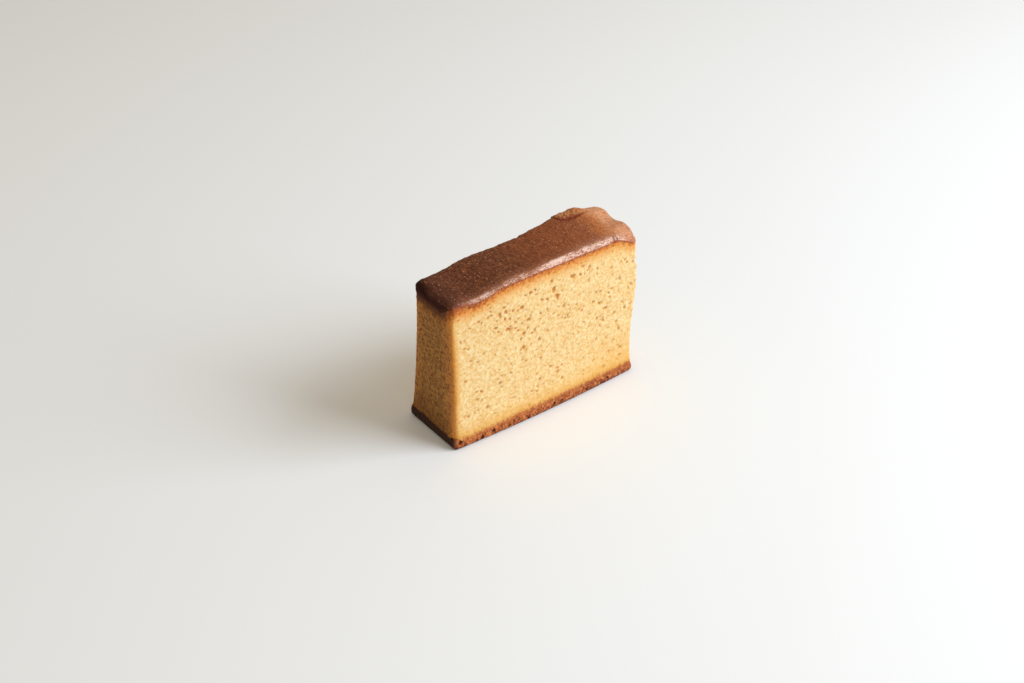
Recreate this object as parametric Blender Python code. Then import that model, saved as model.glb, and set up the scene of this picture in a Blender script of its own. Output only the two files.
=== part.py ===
"""Castella sponge cake: one cut slice, standing on its browned base.

The slice is one solid. +X runs along its length, -Y is one of the two broad
cut faces, +Z is up, and the origin is at the middle of the underside.
From the bottom up it has a base crust that stands slightly proud, a tall
crumb with hand-cut, slightly uneven faces, and a browned top skin whose
edges roll over the cut faces as a soft lip. The left end is the loaf's own
browned side, down which the skin comes deeper.
"""

import math

import bmesh
import bpy
from mathutils import Vector

MM = 0.001

# Driving dimensions, in metres.
SLICE_LENGTH = 90.0 * MM
SLICE_WIDTH = 28.0 * MM
TOP_HEIGHT = 68.1 * MM           # top skin, away from its hump and its ends
SKIN_DEPTH = 2.6 * MM            # from the top down to the skin's lower line, on the cut faces
END_SKIN_GAIN = 3.2 * MM         # how much deeper it comes down the left end, the loaf's own side
SKIN_TIP_LOSS = 1.7 * MM         # how much thinner it is at the front of the right end
SKIN_TIP_START = 27.0 * MM
END_SKIN_START = -40.0 * MM      # that depth begins here on the long faces
END_SKIN_FULL = -6.0 * MM        # and is full from here on the end
BASE_CRUST = 4.2 * MM            # height of the base crust, away from its deep corner
BASE_CORNER_GAIN = 0.9 * MM      # how much deeper the base crust is at the left end
BASE_GAIN_START = -34.0 * MM
BASE_TAPER = 0.8 * MM            # how much thinner it gets towards the right end

# Rounding of the block's edges.
SHOULDER_RADIUS = 2.4 * MM       # top skin into the faces
FOOT_RADIUS = 1.3 * MM           # base crust into the underside
SKIN_CORNER = 2.6 * MM           # upright corners, at the top skin
CRUMB_CORNER = 1.3 * MM          # upright corners, at the crumb

# How far each band of the sides stands out from the block's faces.
LIP_OUT = 0.5 * MM               # rolled lip of the top skin
BASE_OUT = 0.5 * MM              # base crust
WAIST_IN = 0.5 * MM              # crumb at mid height, shrunk as it cooled

# The hump along the back of the top: each step's rise or fall, and where along X it starts and ends.
HUMP_STEPS = (
    (1.4 * MM, 1.5 * MM, 11.0 * MM),
    (1.3 * MM, 14.0 * MM, 20.5 * MM),
    (-1.3 * MM, 31.0 * MM, 37.0 * MM),
)
HUMP_FRONT = -14.0 * MM          # across the slice, it rises from here to HUMP_BACK
HUMP_BACK = 11.0 * MM

# The ends of the top, which fall from its level.
LEFT_SAG = 2.3 * MM
LEFT_SAG_START = -20.0 * MM
LEFT_SAG_END = -36.0 * MM
RIGHT_SAG = 1.9 * MM
RIGHT_END_START = 32.0 * MM
RIGHT_RIPPLE = 0.8 * MM          # wave across the right end
RIPPLE_LENGTH = 15.2 * MM
RIPPLE_CREST = 8.5 * MM
SHOULDER_START = -8.0 * MM       # where the right end begins to roll into the front face
SHOULDER_DROP = 2.9 * MM

# Shallow hollows in the top: depth at the front and at the back, place along X, half width.
HOLLOWS = (
    (1.2 * MM, 0.0, -31.0 * MM, 7.0 * MM),
    (0.0, 0.3 * MM, -9.0 * MM, 8.0 * MM),
)

# Unevenness of the hand-cut faces.
BACK_LEAN = 4.0 * MM             # back face leans in over its height
BACK_LEAN_LOSS = 1.8 * MM        # and how much less it does so at the right end
LEAN_LOSS_START = 10.0 * MM
CORNER_LEAN = 1.2 * MM           # front corner of the left end leans in
CORNER_LEAN_START = -20.0 * MM
LEFT_BACK_OUT = 2.5 * MM         # back corner of the left end stands out at the foot
LEFT_OUT_START = 5.0 * MM
FOOT_BOW = 1.3 * MM              # front face bows out at the foot
BOW_HEIGHT = 16.0 * MM
LEFT_LEAN = 0.6 * MM             # left end leans in at the back of the top
END_BULGE = 1.8 * MM             # right end, at BULGE_Z
BULGE_Z = 40.0 * MM
BULGE_HALF_HEIGHT = 12.0 * MM
RIGHT_LEAN = 0.7 * MM            # right end leans in from here to the top
RIGHT_LEAN_START = 45.0 * MM
END_HOLLOW = 0.2 * MM            # right end, at HOLLOW_Z
HOLLOW_Z = 16.0 * MM
HOLLOW_HALF_HEIGHT = 9.0 * MM

# Ripple of the skin's lower line: height and length of its waves along X and Y.
LINE_WAVES = ((0.15 * MM, 23.0 * MM), (0.15 * MM, 11.0 * MM))

# Grid of the block: spacing, and parts of the base and lip bands that get a level.
STEP_LENGTH = 3.2 * MM
STEP_WIDTH = 3.0 * MM
STEP_HEIGHT = 4.8 * MM
CORNER_STEPS = (0.1, 0.35, 0.65, 1.0)
BASE_LEVELS = (0.0, 0.04, 0.12, 0.24, 0.42, 0.7, 0.88)
SKIN_LEVELS = (0.12, 0.3, 0.5, 0.68, 0.82, 0.92, 0.98, 1.0)
LEDGE_START = 0.85               # part of the base band where it steps back to the crumb
ROLL_END = 0.25                  # part of the skin band where the lip is fully out
WAIST_SHAPE = 0.7                # below 1, the waist is long and flat
BASE_BACK_SHARE = 0.7            # share of the base's extra depth that its back corner has

CRUMB_COLOUR = (0.82, 0.55, 0.22, 1.0)
CRUMB_ROUGHNESS = 0.8

HALF_LENGTH = SLICE_LENGTH / 2
HALF_WIDTH = SLICE_WIDTH / 2


def ease(low, high, value):
    """Smooth step from 0 at low to 1 at high."""
    t = min(max((value - low) / (high - low), 0.0), 1.0)
    return t * t * (3 - 2 * t)


def bell(value, centre, half_width):
    """Smooth bump, 1 at the centre."""
    return math.exp(-(((value - centre) / half_width) ** 2))


def mix(start, end, share):
    """Value a share of the way from start to end."""
    return start * (1 - share) + end * share


def backness(y):
    """0 at the front cut face, 1 at the back one."""
    return (y + HALF_WIDTH) / SLICE_WIDTH


def rightness(x):
    """0 at the left end, 1 at the right one."""
    return (x + HALF_LENGTH) / SLICE_LENGTH


def hump_rise(x):
    """Rise of the hump where it is full, at the back."""
    return sum(step * ease(start, end, x) for step, start, end in HUMP_STEPS)


def top_height(x, y):
    """Height of the top skin over a place in the plan."""
    height = TOP_HEIGHT + hump_rise(x) * ease(HUMP_FRONT, HUMP_BACK, y)
    height -= LEFT_SAG * ease(LEFT_SAG_START, LEFT_SAG_END, x)
    for front_depth, back_depth, place, half_width in HOLLOWS:
        height -= mix(front_depth, back_depth, backness(y)) * bell(x, place, half_width)
    ripple = RIGHT_RIPPLE * math.cos(math.tau * (y - RIPPLE_CREST) / RIPPLE_LENGTH)
    drop = SHOULDER_DROP * ease(SHOULDER_START, -HALF_WIDTH, y)
    return height + (ripple - RIGHT_SAG - drop) * ease(RIGHT_END_START, HALF_LENGTH, x)


def skin_depth(x, y):
    """Height of the browned lip, from the top down to its lower line."""
    depth = SKIN_DEPTH
    depth += END_SKIN_GAIN * ease(END_SKIN_START, -HALF_LENGTH, x) * ease(-HALF_WIDTH, END_SKIN_FULL, y)
    depth -= SKIN_TIP_LOSS * ease(SKIN_TIP_START, HALF_LENGTH, x) * (1 - backness(y))
    for (size, length), place in zip(LINE_WAVES, (x, y)):
        depth += size * math.sin(math.tau * place / length)
    return depth


def base_depth(x, y):
    """Height of the base crust, deepest at the front left corner."""
    corner = BASE_CORNER_GAIN * ease(BASE_GAIN_START, -HALF_LENGTH, x)
    corner *= mix(1, BASE_BACK_SHARE, backness(y))
    return BASE_CRUST + corner - BASE_TAPER * rightness(x)


def round_corner(x, y, radius):
    """Moves a place near an upright corner of the plan on to the corner's arc."""
    inner = Vector((
        min(max(x, radius - HALF_LENGTH), HALF_LENGTH - radius),
        min(max(y, radius - HALF_WIDTH), HALF_WIDTH - radius),
    ))
    offset = Vector((x, y)) - inner
    if offset.length == 0:
        return x, y
    reach = max(abs(offset.x), abs(offset.y))
    place = inner + offset.normalized() * reach
    return place.x, place.y


def arc_in(radius, lift):
    """How far a quarter-round edge is in from its face, 0 to 1 up its arc."""
    return radius * (1 - math.sqrt(max(1 - lift * lift, 0.0)))


def side_out(band, part, x, y):
    """How far the sides stand out, at a part of a band from 0 to 1."""
    if band == "base":
        foot = FOOT_RADIUS / base_depth(x, y)
        if part < foot:
            return BASE_OUT - arc_in(FOOT_RADIUS, 1 - part / foot)
        return BASE_OUT * (1 - ease(LEDGE_START, 1.0, part))
    if band == "crumb":
        return -WAIST_IN * math.sin(math.pi * part) ** WAIST_SHAPE
    roll = LIP_OUT * ease(0.0, ROLL_END, part)
    depth = skin_depth(x, y)
    radius = min(SHOULDER_RADIUS, depth)
    shoulder = 1 - radius / depth
    if part <= shoulder:
        return roll
    return roll - arc_in(radius, (part - shoulder) / (1 - shoulder))


def hand_cut(x, y, z):
    """Adds the unevenness of the faces: their leans, a bow at the foot and a bulging end."""
    up = z / TOP_HEIGHT
    back = backness(y)
    right = rightness(x)
    lean = BACK_LEAN - BACK_LEAN_LOSS * ease(LEAN_LOSS_START, HALF_LENGTH, x)
    corner_out = LEFT_BACK_OUT * ease(LEFT_OUT_START, -HALF_LENGTH, x)
    front_lean = CORNER_LEAN * ease(CORNER_LEAN_START, -HALF_LENGTH, x) * up
    bow = FOOT_BOW * (1 - (x / HALF_LENGTH) ** 2) * (1 - ease(0, BOW_HEIGHT, z))
    new_y = y + back * (corner_out * (1 - up) - lean * up) + (1 - back) * (front_lean - bow)
    bulge = END_BULGE * bell(z, BULGE_Z, BULGE_HALF_HEIGHT)
    hollow = END_HOLLOW * bell(z, HOLLOW_Z, HOLLOW_HALF_HEIGHT)
    right_lean = RIGHT_LEAN * ease(RIGHT_LEAN_START, TOP_HEIGHT, z)
    new_x = x + LEFT_LEAN * back * up * (1 - right) + (bulge - hollow - right_lean) * right
    return new_x, new_y


def levels():
    """The block's levels, each with its band and its part of that band."""
    crumb_height = TOP_HEIGHT - SKIN_DEPTH - BASE_CRUST
    count = round(crumb_height / STEP_HEIGHT)
    base = [("base", part) for part in BASE_LEVELS]
    crumb = [("crumb", step / count) for step in range(count + 1)]
    skin = [("skin", part) for part in SKIN_LEVELS]
    return base + crumb + skin


def stations(half, step):
    """Places along one side of the plan: close together at the corners."""
    near = [half - SKIN_CORNER * part for part in CORNER_STEPS]
    count = round(2 * near[-1] / step)
    middle = [near[-1] * (2 * index / count - 1) for index in range(1, count)]
    return [-place for place in near] + middle + near


def cut_block(top):
    """A box with a grid line at each station and level; its z counts the levels."""
    mesh = bmesh.new()
    bmesh.ops.create_cube(mesh, size=1)
    for vert in mesh.verts:
        x, y, z = vert.co
        vert.co = (x * SLICE_LENGTH, y * SLICE_WIDTH, (z + 0.5) * top)
    cuts = [(0, place) for place in stations(HALF_LENGTH, STEP_LENGTH)]
    cuts += [(1, place) for place in stations(HALF_WIDTH, STEP_WIDTH)]
    cuts += [(2, level) for level in range(1, top)]
    for axis, place in cuts:
        normal = Vector((0, 0, 0))
        normal[axis] = 1
        geometry = mesh.verts[:] + mesh.edges[:] + mesh.faces[:]
        bmesh.ops.bisect_plane(mesh, geom=geometry, plane_co=normal * place, plane_no=normal)
    return mesh


def shaped(place, all_levels):
    """Where a vertex of the cut block lies on the finished slice."""
    band, part = all_levels[round(place.z)]
    corner = {"base": FOOT_RADIUS, "crumb": CRUMB_CORNER, "skin": SKIN_CORNER}[band]
    x, y = round_corner(place.x, place.y, corner)
    out = side_out(band, part, x, y)
    wide_x = x * (1 + out / HALF_LENGTH)
    wide_y = y * (1 + out / HALF_WIDTH)
    foot = base_depth(x, y)
    line = top_height(x, y) - skin_depth(x, y)
    if band == "base":
        z = foot * part
    elif band == "crumb":
        z = mix(foot, line, part)
    else:
        z = mix(line, top_height(wide_x, wide_y), part)
    new_x, new_y = hand_cut(wide_x, wide_y, z)
    return Vector((new_x, new_y, z))


def centre_in_plan(mesh):
    """Moves the mesh so that the middle of its box is over the origin."""
    for axis in (0, 1):
        places = [vert.co[axis] for vert in mesh.verts]
        middle = (min(places) + max(places)) / 2
        for vert in mesh.verts:
            vert.co[axis] -= middle


def sponge_material():
    """Golden crumb: the whole solid wears its colour."""
    material = bpy.data.materials.new("castella_crumb")
    material.use_nodes = True
    shader = material.node_tree.nodes["Principled BSDF"]
    shader.inputs["Base Color"].default_value = CRUMB_COLOUR
    shader.inputs["Roughness"].default_value = CRUMB_ROUGHNESS
    shader.inputs["Metallic"].default_value = 0.0
    material.diffuse_color = CRUMB_COLOUR
    return material


def make_slice(collection):
    """The whole slice as one closed solid."""
    all_levels = levels()
    mesh = cut_block(len(all_levels) - 1)
    for vert in mesh.verts:
        vert.co = shaped(vert.co.copy(), all_levels)
    centre_in_plan(mesh)
    bmesh.ops.recalc_face_normals(mesh, faces=mesh.faces[:])
    data = bpy.data.meshes.new("castella_slice")
    mesh.to_mesh(data)
    mesh.free()
    data.shade_smooth()
    data.materials.append(sponge_material())
    collection.objects.link(bpy.data.objects.new("castella_slice", data))


def main():
    """Clears the scene's objects and models the slice."""
    for leftover in list(bpy.data.objects):
        bpy.data.objects.remove(leftover, do_unlink=True)
    collection = bpy.data.collections.new("castella_sponge_cake")
    bpy.context.scene.collection.children.link(collection)
    make_slice(collection)


main()
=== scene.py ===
import math

import bpy
import numpy as np
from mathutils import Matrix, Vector, noise


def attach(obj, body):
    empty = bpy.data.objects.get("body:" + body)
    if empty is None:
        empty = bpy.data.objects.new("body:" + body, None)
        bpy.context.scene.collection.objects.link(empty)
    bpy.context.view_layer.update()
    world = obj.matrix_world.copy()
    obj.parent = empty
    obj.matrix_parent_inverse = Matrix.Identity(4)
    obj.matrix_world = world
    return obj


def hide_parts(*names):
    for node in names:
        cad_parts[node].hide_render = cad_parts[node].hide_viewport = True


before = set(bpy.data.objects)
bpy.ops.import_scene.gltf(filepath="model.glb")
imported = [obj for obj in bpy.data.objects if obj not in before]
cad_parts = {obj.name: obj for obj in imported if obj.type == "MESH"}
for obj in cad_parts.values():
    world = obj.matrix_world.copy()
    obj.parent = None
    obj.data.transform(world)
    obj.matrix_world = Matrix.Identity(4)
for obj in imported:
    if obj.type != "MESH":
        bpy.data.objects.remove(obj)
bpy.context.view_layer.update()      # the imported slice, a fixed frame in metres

mm = 0.001
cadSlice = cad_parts["castella_slice"]
rounding = 2           # subdivision levels that take the facets off the solid

# The block that the slice was cut from, in mm, and how its faces lean and bulge, as the solid has them.
block = dict(
    halfLength=45.0, halfWidth=14.0, top=68.1, middle=(0.41, 0.57),
    backLean=4.0, leanLoss=1.8, leanLossStart=10.0, cornerLean=1.2, cornerLeanStart=-20.0,
    leftBackOut=2.5, leftOutStart=5.0, bulge=1.8, bulgeZ=40.0, bulgeHalfHeight=12.0,
    rightLean=0.7, rightLeanStart=45.0,
)

# The top's shape, and the lines, in mm, where the browned skins meet the crumb.
skinLine = dict(
    depth=2.6, endGain=3.2, endStart=-40.0, endFull=-6.0, tipLoss=1.7, tipStart=27.0,
    thin=(0.8, -40.0, 6.0), thinUntil=0.35,        # less depth at the front left: how much, x, half width
    humpSteps=((1.4, 1.5, 11.0), (1.3, 14.0, 20.5), (-1.3, 31.0, 37.0)), humpFront=-14.0, humpBack=11.0,
    sag=2.3, sagStart=-20.0, sagEnd=-36.0, rightSag=1.9, rightStart=32.0,
    ripple=0.8, rippleLength=15.2, rippleCrest=8.5, shoulderStart=-8.0, shoulderDrop=2.9,
    hollows=((1.2, 0.0, -31.0, 7.0), (0.0, 0.3, -9.0, 8.0)), waves=((0.15, 23.0), (0.15, 11.0)),
    ragged=0.2, grain=1.1,
)
baseLine = dict(
    depth=4.6, leftLoss=0.7, lossStart=-12.0, lossEnd=-38.0, cornerGain=0.9, gainStart=-42.0, backShare=0.7,
    ragged=0.4, grain=1.1,
)


def ease(low, high, value):
    t = np.clip((value - low) / (high - low), 0, 1)
    return t * t * (3 - 2 * t)


def bell(value, centre, halfWidth):
    return np.exp(-(((value - centre) / halfWidth) ** 2))


def plan(place):
    # a point's place in the straight block, in mm, and its share of the way from front to back
    b = block
    x = place[:, 0] / mm + b["middle"][0]
    y = place[:, 1] / mm + b["middle"][1]
    z = place[:, 2] / mm
    up = z / b["top"]
    right = np.clip((x + b["halfLength"]) / (2 * b["halfLength"]), 0, 1)
    bulge = b["bulge"] * bell(z, b["bulgeZ"], b["bulgeHalfHeight"])
    x = x - (bulge - b["rightLean"] * ease(b["rightLeanStart"], b["top"], z)) * right
    lean = b["backLean"] - b["leanLoss"] * ease(b["leanLossStart"], b["halfLength"], x)
    atBack = b["leftBackOut"] * ease(b["leftOutStart"], -b["halfLength"], x) * (1 - up) - lean * up
    atFront = b["cornerLean"] * ease(b["cornerLeanStart"], -b["halfLength"], x) * up
    y = (y - (atBack + atFront) / 2) / (1 + (atBack - atFront) / (2 * b["halfWidth"]))
    back = (y + b["halfWidth"]) / (2 * b["halfWidth"])
    return x, y, np.clip(back, 0, 1)


def noiseAt(place, length):
    # soft noise, about -1 to 1, with lumps of this length in mm
    return np.array([noise.noise(Vector(p) / (length * mm)) for p in place])


def raggedness(place, size, grain):
    # uneven height in mm of a torn or crumbly edge: a slow wave and a crumb-sized one
    flat = place * (1, 1, 0)
    return size * (0.6 * noiseAt(flat, 4 * grain) + noiseAt(flat, grain))


def lipHeight(place):
    # height in mm of the top skin's lower line
    s = skinLine
    half, wide = block["halfLength"], block["halfWidth"]
    x, y, back = plan(place)
    hump = sum(step * ease(start, end, x) for step, start, end in s["humpSteps"])
    height = block["top"] + hump * ease(s["humpFront"], s["humpBack"], y)
    height -= s["sag"] * ease(s["sagStart"], s["sagEnd"], x)
    for atFront, atBack, centre, halfWidth in s["hollows"]:
        height -= (atFront * (1 - back) + atBack * back) * bell(x, centre, halfWidth)
    ripple = s["ripple"] * np.cos(math.tau * (y - s["rippleCrest"]) / s["rippleLength"])
    drop = s["shoulderDrop"] * ease(s["shoulderStart"], -wide, y)
    height += (ripple - s["rightSag"] - drop) * ease(s["rightStart"], half, x)
    depth = s["depth"] + s["endGain"] * ease(s["endStart"], -half, x) * ease(-wide, s["endFull"], y)
    depth = depth - s["tipLoss"] * ease(s["tipStart"], half, x) * (1 - back)
    loss, centre, halfWidth = s["thin"]
    depth = depth - loss * bell(x, centre, halfWidth) * ease(s["thinUntil"], 0.0, back)
    for (size, length), along in zip(s["waves"], (x, y)):
        depth = depth + size * np.sin(math.tau * along / length)
    return height - depth + raggedness(place, s["ragged"], s["grain"])


def baseHeight(place):
    # height in mm of the base crust's upper edge
    b = baseLine
    x, y, back = plan(place)
    corner = b["cornerGain"] * ease(b["gainStart"], -block["halfLength"], x)
    corner = corner * (1 - back + b["backShare"] * back)
    loss = b["leftLoss"] * ease(b["lossStart"], b["lossEnd"], x) * (1 - back)
    return b["depth"] + corner - loss + raggedness(place, b["ragged"], b["grain"])


# Mesh helpers.

def onlyActive(piece):
    bpy.ops.object.select_all(action="DESELECT")
    piece.select_set(True)
    bpy.context.view_layer.objects.active = piece


def applyModifier(piece, kind, **settings):
    modifier = piece.modifiers.new("Step", kind)
    for name, value in settings.items():
        setattr(modifier, name, value)
    onlyActive(piece)
    bpy.ops.object.modifier_apply(modifier=modifier.name)


def readPlaces(items, name="co"):
    values = np.empty(len(items) * 3, dtype=np.float32)
    items.foreach_get(name, values)
    return values.reshape(-1, 3).astype(np.float64)


def writePlaces(mesh, places):
    mesh.vertices.foreach_set("co", places.astype(np.float32).ravel())
    mesh.update()


def sliceCopy(name, grid):
    # the solid's own shape, with its facets rounded off and an even grid of small quads
    mesh = cadSlice.data.copy()
    mesh.name = name
    piece = bpy.data.objects.new(name, mesh)
    bpy.context.collection.objects.link(piece)
    mesh.materials.clear()
    onlyActive(piece)
    bpy.ops.object.mode_set(mode="EDIT")
    bpy.ops.mesh.select_all(action="SELECT")
    bpy.ops.mesh.remove_doubles(threshold=0.001 * mm)
    bpy.ops.mesh.tris_convert_to_quads(face_threshold=0.7, shape_threshold=0.7)
    bpy.ops.object.mode_set(mode="OBJECT")
    applyModifier(piece, "SUBSURF", levels=rounding, render_levels=rounding)
    applyModifier(piece, "REMESH", mode="VOXEL", voxel_size=grid, use_smooth_shade=True)
    applyModifier(piece, "SMOOTH", factor=0.5, iterations=4)
    return piece


def selectRim():
    bpy.ops.mesh.select_mode(type="EDGE")
    bpy.ops.mesh.select_all(action="DESELECT")
    bpy.ops.mesh.select_non_manifold(
        use_wire=False, use_multi_face=False, use_non_contiguous=False, use_verts=False)


def cutAt(piece, lineAt, keepAbove, clean):
    # takes off what lies past a wavy line; a clean rim is drawn on to the line, a crumbly one only softened
    mesh = piece.data
    centres = readPlaces(mesh.polygons, "center")
    past = centres[:, 2] / mm - lineAt(centres)
    mesh.vertices.foreach_set("select", np.zeros(len(mesh.vertices), dtype=bool))
    mesh.edges.foreach_set("select", np.zeros(len(mesh.edges), dtype=bool))
    mesh.polygons.foreach_set("select", past < 0 if keepAbove else past > 0)
    bpy.context.tool_settings.mesh_select_mode = (False, False, True)
    onlyActive(piece)
    bpy.ops.object.mode_set(mode="EDIT")
    bpy.ops.mesh.delete(type="FACE")
    selectRim()
    if not clean:
        bpy.ops.mesh.vertices_smooth(factor=0.5, repeat=2)
    bpy.ops.object.mode_set(mode="OBJECT")
    if clean:
        places = readPlaces(mesh.vertices)
        rim = np.empty(len(places), dtype=bool)
        mesh.vertices.foreach_get("select", rim)
        places[rim, 2] = lineAt(places[rim]) * mm
        writePlaces(mesh, places)


def closeRim(piece, steps):
    # carries the rim on inwards, out of sight, and closes it; each step is (inwards, up) in mm
    onlyActive(piece)
    bpy.ops.object.mode_set(mode="EDIT")
    selectRim()
    for inwards, up in steps:
        shrink = (1 - inwards / block["halfLength"], 1 - inwards / block["halfWidth"], 1)
        bpy.ops.mesh.extrude_region_move(TRANSFORM_OT_translate={"value": (0, 0, up * mm)})
        bpy.ops.transform.resize(value=shrink, center_override=(0, 0, 0))
    bpy.ops.mesh.extrude_region_move()
    bpy.ops.mesh.merge(type="CENTER")
    bpy.ops.mesh.select_all(action="SELECT")
    bpy.ops.mesh.normals_make_consistent(inside=False)
    bpy.ops.object.mode_set(mode="OBJECT")


def keepValue(piece, name, values):
    # a value at each point, which the material or the relief reads
    layer = piece.data.attributes.new(name, "FLOAT", "POINT")
    layer.data.foreach_set("value", values.astype(np.float32))


def pitsAt(x, z, places, flat, uneven):
    # depth in mm of flattened pits at named places, their outline put out by the unevenness
    depth = np.zeros(len(x))
    for pitX, pitZ, radius in places:
        away = np.hypot(x - pitX, flat * (z - pitZ)) + uneven * radius
        depth = np.maximum(depth, np.sqrt(np.clip(radius ** 2 - away ** 2, 0, None)))
    return depth


def boxMap(piece, gap=1.5 * mm):
    # the bake's map: each of the six sides laid flat in its own rectangle, so nothing overlaps
    mesh = piece.data
    normals = readPlaces(mesh.polygons, "normal")
    axis = np.abs(normals).argmax(axis=1)
    side = axis * 2 + (normals[np.arange(len(axis)), axis] > 0)
    corners = np.empty(len(mesh.loops), dtype=np.int32)
    mesh.loops.foreach_get("vertex_index", corners)
    counts = np.empty(len(mesh.polygons), dtype=np.int32)
    mesh.polygons.foreach_get("loop_total", counts)
    cornerSide = np.repeat(side, counts)
    places = readPlaces(mesh.vertices)[corners]
    flat = np.zeros((len(corners), 2))
    across, row, rowHeight, widest = gap, gap, 0.0, 0.0
    rowEnd = 0.14
    for number in (2, 0, 3, 1, 5, 4):      # front, left, back, right, top, underside
        here = cornerSide == number
        if not here.any():
            continue
        pair = ((1, 2), (0, 2), (0, 1))[number // 2]
        spread = places[here][:, pair]
        spread = spread - spread.min(axis=0)
        wide, high = spread.max(axis=0)
        if across + wide > rowEnd:
            across, row, rowHeight = gap, row + rowHeight + gap, 0.0
        flat[here] = spread + (across, row)
        across += wide + gap
        rowHeight = max(rowHeight, high)
        widest = max(widest, across)
    flat /= max(widest, row + rowHeight + gap)
    layer = mesh.uv_layers.new(name="OFBake")
    layer.data.foreach_set("uv", flat.astype(np.float32).ravel())


def addNode(tree, kind, sockets=None, out=0, stops=None, **settings):
    # one node with its settings, its sockets set or linked and its ramp's stops; gives back one output
    node = tree.nodes.new(kind)
    for name, value in settings.items():
        setattr(node, name, value)
    for name, value in (sockets or {}).items():
        if isinstance(value, bpy.types.NodeSocket):
            tree.links.new(value, node.inputs[name])
        else:
            node.inputs[name].default_value = value
    if stops:
        node.color_ramp.elements[0].color = colour(stops[0][1])
        node.color_ramp.elements[-1].color = colour(stops[-1][1])
        for at, hexText in stops[1:-1]:
            node.color_ramp.elements.new(at).color = colour(hexText)
    return node.outputs[out] if len(node.outputs) else node


def unevenPlace(tree, place, wobble):
    # the place in mm, put out of true so that round cells come out ragged; frequency in 1/mm and size in mm
    shaken = place
    for frequency, size in wobble:
        shake = addNode(tree, "ShaderNodeTexNoise", {"Vector": place, "Scale": frequency, "Detail": 2.0},
                        out="Color")
        shake = addNode(tree, "ShaderNodeVectorMath", {0: shake, 1: (0.5, 0.5, 0.5)}, operation="SUBTRACT")
        shake = addNode(tree, "ShaderNodeVectorMath", {0: shake, "Scale": size}, operation="SCALE")
        shaken = addNode(tree, "ShaderNodeVectorMath", {0: shaken, 1: shake}, operation="ADD")
    return shaken


def colour(hexText):
    # sRGB hex to the linear values that the nodes mix
    parts = [int(hexText[i:i + 2], 16) / 255 for i in (0, 2, 4)]
    return tuple(c / 12.92 if c <= 0.04045 else ((c + 0.055) / 1.055) ** 2.4 for c in parts) + (1.0,)


def finishPiece(piece, material):
    piece.data.materials.clear()
    piece.data.materials.append(material)
    piece.data.shade_smooth()
    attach(piece, "root")
    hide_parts("castella_slice")
    print(piece.name, len(piece.data.polygons), "faces")


# Relief of the crumb.

crumb = dict(
    grid=0.405 * mm, softCorner=2.6,                # radius of the browned corner on the left
    pores=((2.9, 0.4, 0.85, 0.5), (1.6, 0.2, 0.5, 0.6), (6.0, 0.5, 1.0, 0.2)),   # spacing, radii, share
    wobble=((0.5, 1.7), (1.4, 0.9)), rough=0.12, roughGrain=1.5, deepest=0.5,
    # the larger holes on the front face: x, z, radius
    holes=((1.8, 59.6, 0.85), (3.0, 55.8, 1.0), (4.3, 51.8, 1.0), (-10.8, 57.9, 0.8), (-6.1, 58.6, 0.75),
           (-12.7, 53.1, 1.0), (-21.2, 56.2, 0.8), (-23.1, 54.0, 0.9), (-17.0, 53.2, 0.7),
           (-9.8, 46.3, 1.0), (-25.0, 48.3, 0.9), (-19.4, 45.6, 1.0), (-10.2, 42.6, 0.75),
           (-8.3, 39.5, 0.7), (12.3, 57.7, 1.15), (28.7, 36.4, 0.85), (38.4, 14.0, 0.9)),
    holeUneven=0.45, holeGrain=0.8, holeFlat=1.3,
    openX=-4.0, openZ=51.0, openWidth=27.0, openHeight=12.0, closed=0.35,        # where it is most open
    tornZ=47.0, tornHeight=14.0, tornReach=3.0, tornSize=0.95, tornGrain=1.9,    # torn patch, right end
    skinFade=0.012, deeper=(1.0, -41.0, 7.0),       # the browning under the skin is wider on the left
    cornerShift=1.4, cornerZ=33.0, cornerHeight=22.0, backCorner=3.0,   # how far it goes round the corners
)


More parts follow.
